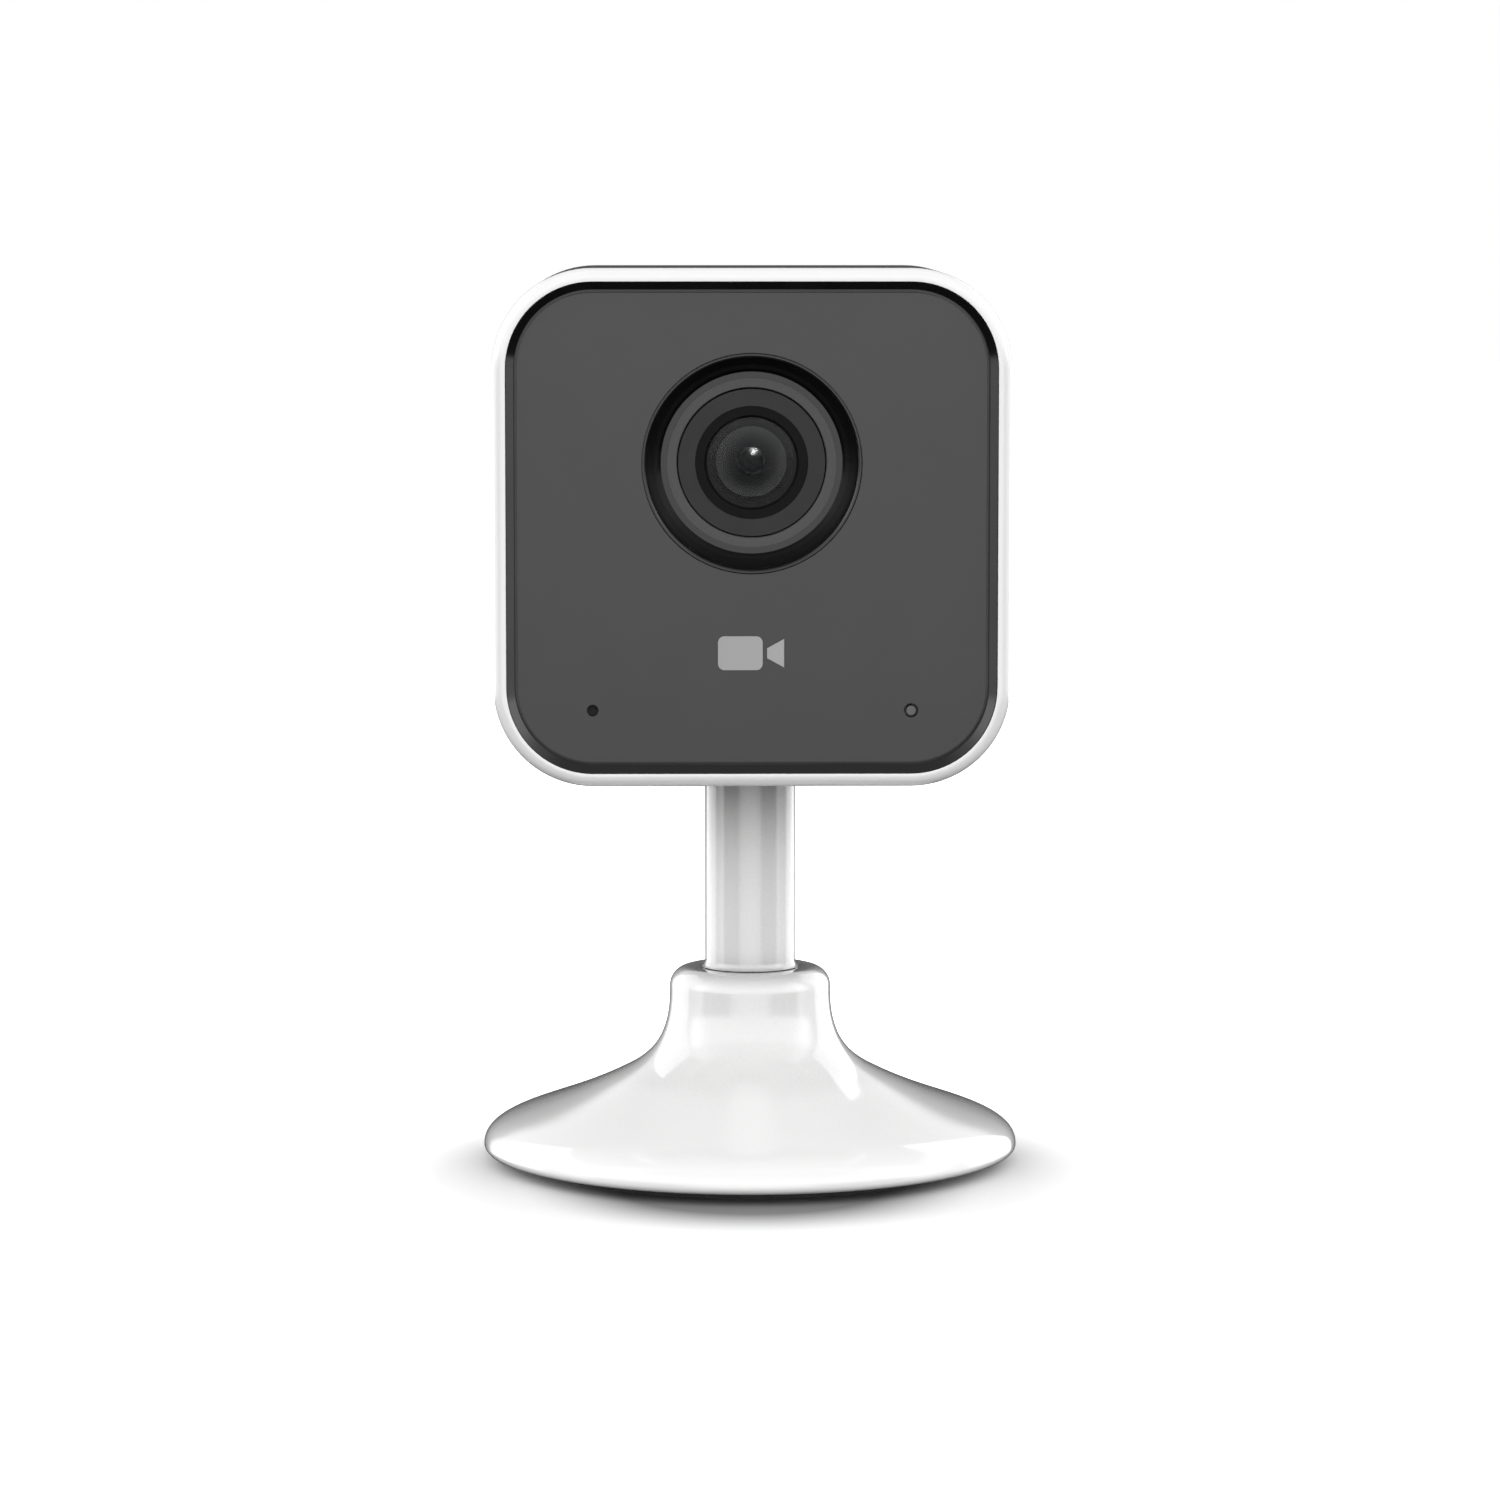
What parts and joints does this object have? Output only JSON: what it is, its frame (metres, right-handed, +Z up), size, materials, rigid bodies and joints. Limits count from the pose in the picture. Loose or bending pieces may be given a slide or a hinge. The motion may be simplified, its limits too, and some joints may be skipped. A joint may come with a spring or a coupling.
{
  "type": "security camera",
  "caption": "Compact indoor Wi-Fi security camera: a rounded-square head tilts on a short stem that turns in a flared, weighted magnetic base.",
  "frame": {"origin": "on the table, under the centre of the round base", "axes": "+Z up along the stem; the lens looks along -Y; +X is to the right seen from in front of the lens looking along +Y"},
  "size_m": [0.0618, 0.0618, 0.1035],
  "materials": {
    "white_gloss": "white ABS, polished, with a soft gloss",
    "black_gloss": "black PC, polished",
    "smoked_panel": "smoke-grey infrared-passing PC, satin smooth",
    "trim_grey": "dark grey, fine satin",
    "barrel_black": "black, finely turned",
    "lens_glass": "coated optical glass",
    "foot_rubber": "dark grey silicone, matt",
    "black_matt": "black ABS, fine matt",
    "foam": "black foam tape",
    "acetal": "natural acetal",
    "steel": "zinc-plated steel",
    "tinplate": "tin-plated sheet",
    "spreader": "plain aluminium sheet",
    "ferrite": "sintered magnet, dull",
    "board_green": "glass-fibre board with green solder mask",
    "thermal": "soft silicone pad",
    "copper": "enamelled copper winding",
    "gold_film": "polyimide film",
    "lamp_epoxy": "lamp package, clear epoxy on white",
    "light_guide": "frosted clear PC",
    "sensor_silicon": "silicon under a cover glass",
    "mic_metal": "gilt lid",
    "button_grey": "grey ABS"
  },
  "bodies": {
    "base": {"base_shell": "white_gloss", "base_floor": "black_matt", "foot_pad": "foot_rubber", "ballast_ring": "steel", "magnet_ring": "ferrite", "base_screws": "steel", "swivel_bush": "acetal"},
    "stem": {"stem_sleeve": "white_gloss", "stem_core": "steel", "swivel_spring_washer": "steel", "swivel_flat_washer": "steel", "swivel_nut": "steel"},
    "head": {"rear_housing": "white_gloss", "front_ring": "white_gloss", "front_frame": "black_gloss", "front_panel": "smoked_panel", "panel_tape": "foam", "lens_surround": "black_gloss", "lens_trim_ring": "trim_grey", "lens_barrel": "barrel_black", "lens_retainer": "barrel_black", "front_lens": "lens_glass", "middle_lens": "lens_glass", "aperture_stop": "barrel_black", "rear_lens": "lens_glass", "lens_holder": "barrel_black", "filter_cover": "barrel_black", "filter_coil": "copper", "image_sensor": "sensor_silicon", "main_board": "board_green", "processor_chip": "black_matt", "memory_chips": "black_matt", "rf_shield": "tinplate", "thermal_pad": "thermal", "heat_spreader": "spreader", "wifi_antenna": "gold_film", "front_board": "board_green", "ir_leds": "lamp_epoxy", "light_sensor": "lamp_epoxy", "status_led": "lamp_epoxy", "light_pipe": "light_guide", "microphone": "mic_metal", "mic_boot": "foot_rubber", "board_flex": "gold_film", "speaker": "black_matt", "speaker_gasket": "foam", "usb_socket": "tinplate", "card_socket": "tinplate", "reset_switch": "black_matt", "hinge_bracket": "steel", "tilt_pin": "steel", "pin_clip": "steel", "friction_washers": "acetal", "housing_screws": "steel", "board_screws": "steel", "bracket_screws": "steel"},
    "filter_carriage": {"filter_carriage": "acetal", "filter_glass": "lens_glass"},
    "reset_button": {"reset_button": "button_grey"}
  },
  "joints": [
    {"name": "pan", "type": "hinge", "parent": "base", "child": "stem", "pos_m": [0, 0, 0.02], "axis": [0, 0, 1], "continuous": true},
    {"name": "tilt", "type": "hinge", "parent": "stem", "child": "head", "pos_m": [0, 0, 0.054], "axis": [-1, 0, 0], "range_deg": [-20, 90]},
    {"name": "filter_slide", "type": "slide", "parent": "head", "child": "filter_carriage", "axis": [1, 0, 0], "range_m": [0, 0.0054]},
    {"name": "reset_press", "type": "slide", "parent": "head", "child": "reset_button", "axis": [0, -1, 0], "range_m": [0, 0.0004], "stiffness_N_per_m": 1500}
  ]
}
